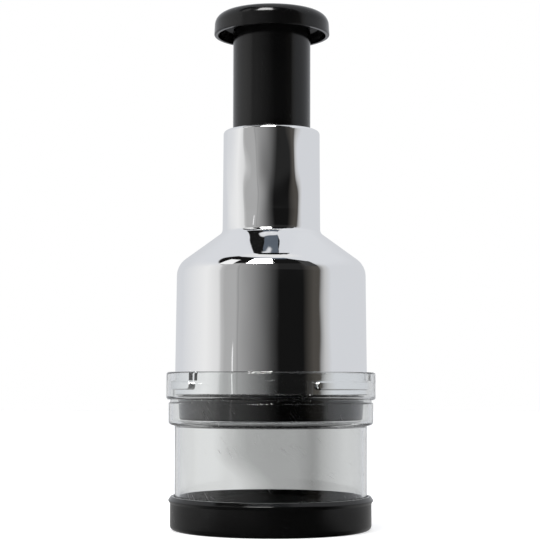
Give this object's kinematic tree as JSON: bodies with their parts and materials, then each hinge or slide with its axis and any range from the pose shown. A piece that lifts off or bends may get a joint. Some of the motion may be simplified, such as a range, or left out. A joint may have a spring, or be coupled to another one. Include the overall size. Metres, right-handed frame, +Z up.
{
  "type": "plunger food chopper",
  "caption": "Upright hand chopper: a knob pushes a folded blade down through a stripper plate into a clear cup on a black base, under a chromed bayonet housing.",
  "frame": {"origin": "centre of the underside of the base, on the surface that the chopper stands on", "axes": "+Z up along the axis of the plunger, -Y towards the front of the pictured view, +X to its right"},
  "size_m": [0.0924, 0.0924, 0.2304],
  "materials": {
    "black_plastic": "gloss moulded",
    "clear_plastic": "clear moulded",
    "chrome_shell": "mirror plated",
    "inner_plastic": "moulded",
    "steel": "drawn",
    "blade_steel": "rolled and ground"
  },
  "bodies": {
    "base": {"base_lid": "black_plastic"},
    "cup": {"clear_cup": "clear_plastic"},
    "housing": {"chrome_housing": "chrome_shell", "guide_plate": "inner_plastic", "guide_plate_screw_1": "steel", "guide_plate_screw_2": "steel", "guide_plate_screw_3": "steel", "index_ring": "inner_plastic", "neck_guide_sleeve": "inner_plastic"},
    "plunger": {"plunger_stem": "black_plastic", "press_knob": "black_plastic", "knob_screw": "steel", "drive_ring": "inner_plastic", "spring_seat_washer": "steel", "return_spring": "steel"},
    "rotor": {"spindle": "steel", "spindle_cam": "inner_plastic", "spindle_clip": "steel", "blade_carrier": "black_plastic", "carrier_ratchet_ring": "inner_plastic", "carrier_pin": "steel", "chopping_blade": "blade_steel"},
    "stripper": {"stripper_plate": "black_plastic"}
  },
  "joints": [
    {"name": "cup_lift", "type": "slide", "parent": "base", "child": "cup", "axis": [0, 0, 1], "range_m": [0, 0.045]},
    {"name": "collar_twist", "type": "hinge", "parent": "cup", "child": "housing", "pos_m": [0, 0, 0.063], "axis": [0, 0, 1], "range_deg": [0, 46]},
    {"name": "plunger_press", "type": "slide", "parent": "housing", "child": "plunger", "axis": [0, 0, -1], "range_m": [0, 0.041], "stiffness_N_per_m": 600, "springref_m": -0.012, "deforming": ["return_spring"]},
    {"name": "blade_index", "type": "hinge", "parent": "plunger", "child": "rotor", "pos_m": [0, 0, 0.21], "axis": [0, 0, 1], "continuous": true},
    {"name": "stripper_index", "type": "hinge", "parent": "housing", "child": "stripper", "pos_m": [0, 0, 0.067], "axis": [0, 0, 1], "continuous": true}
  ],
  "couplings": [
    {"joint": "stripper_index", "follows": "blade_index", "ratio": 1}
  ]
}
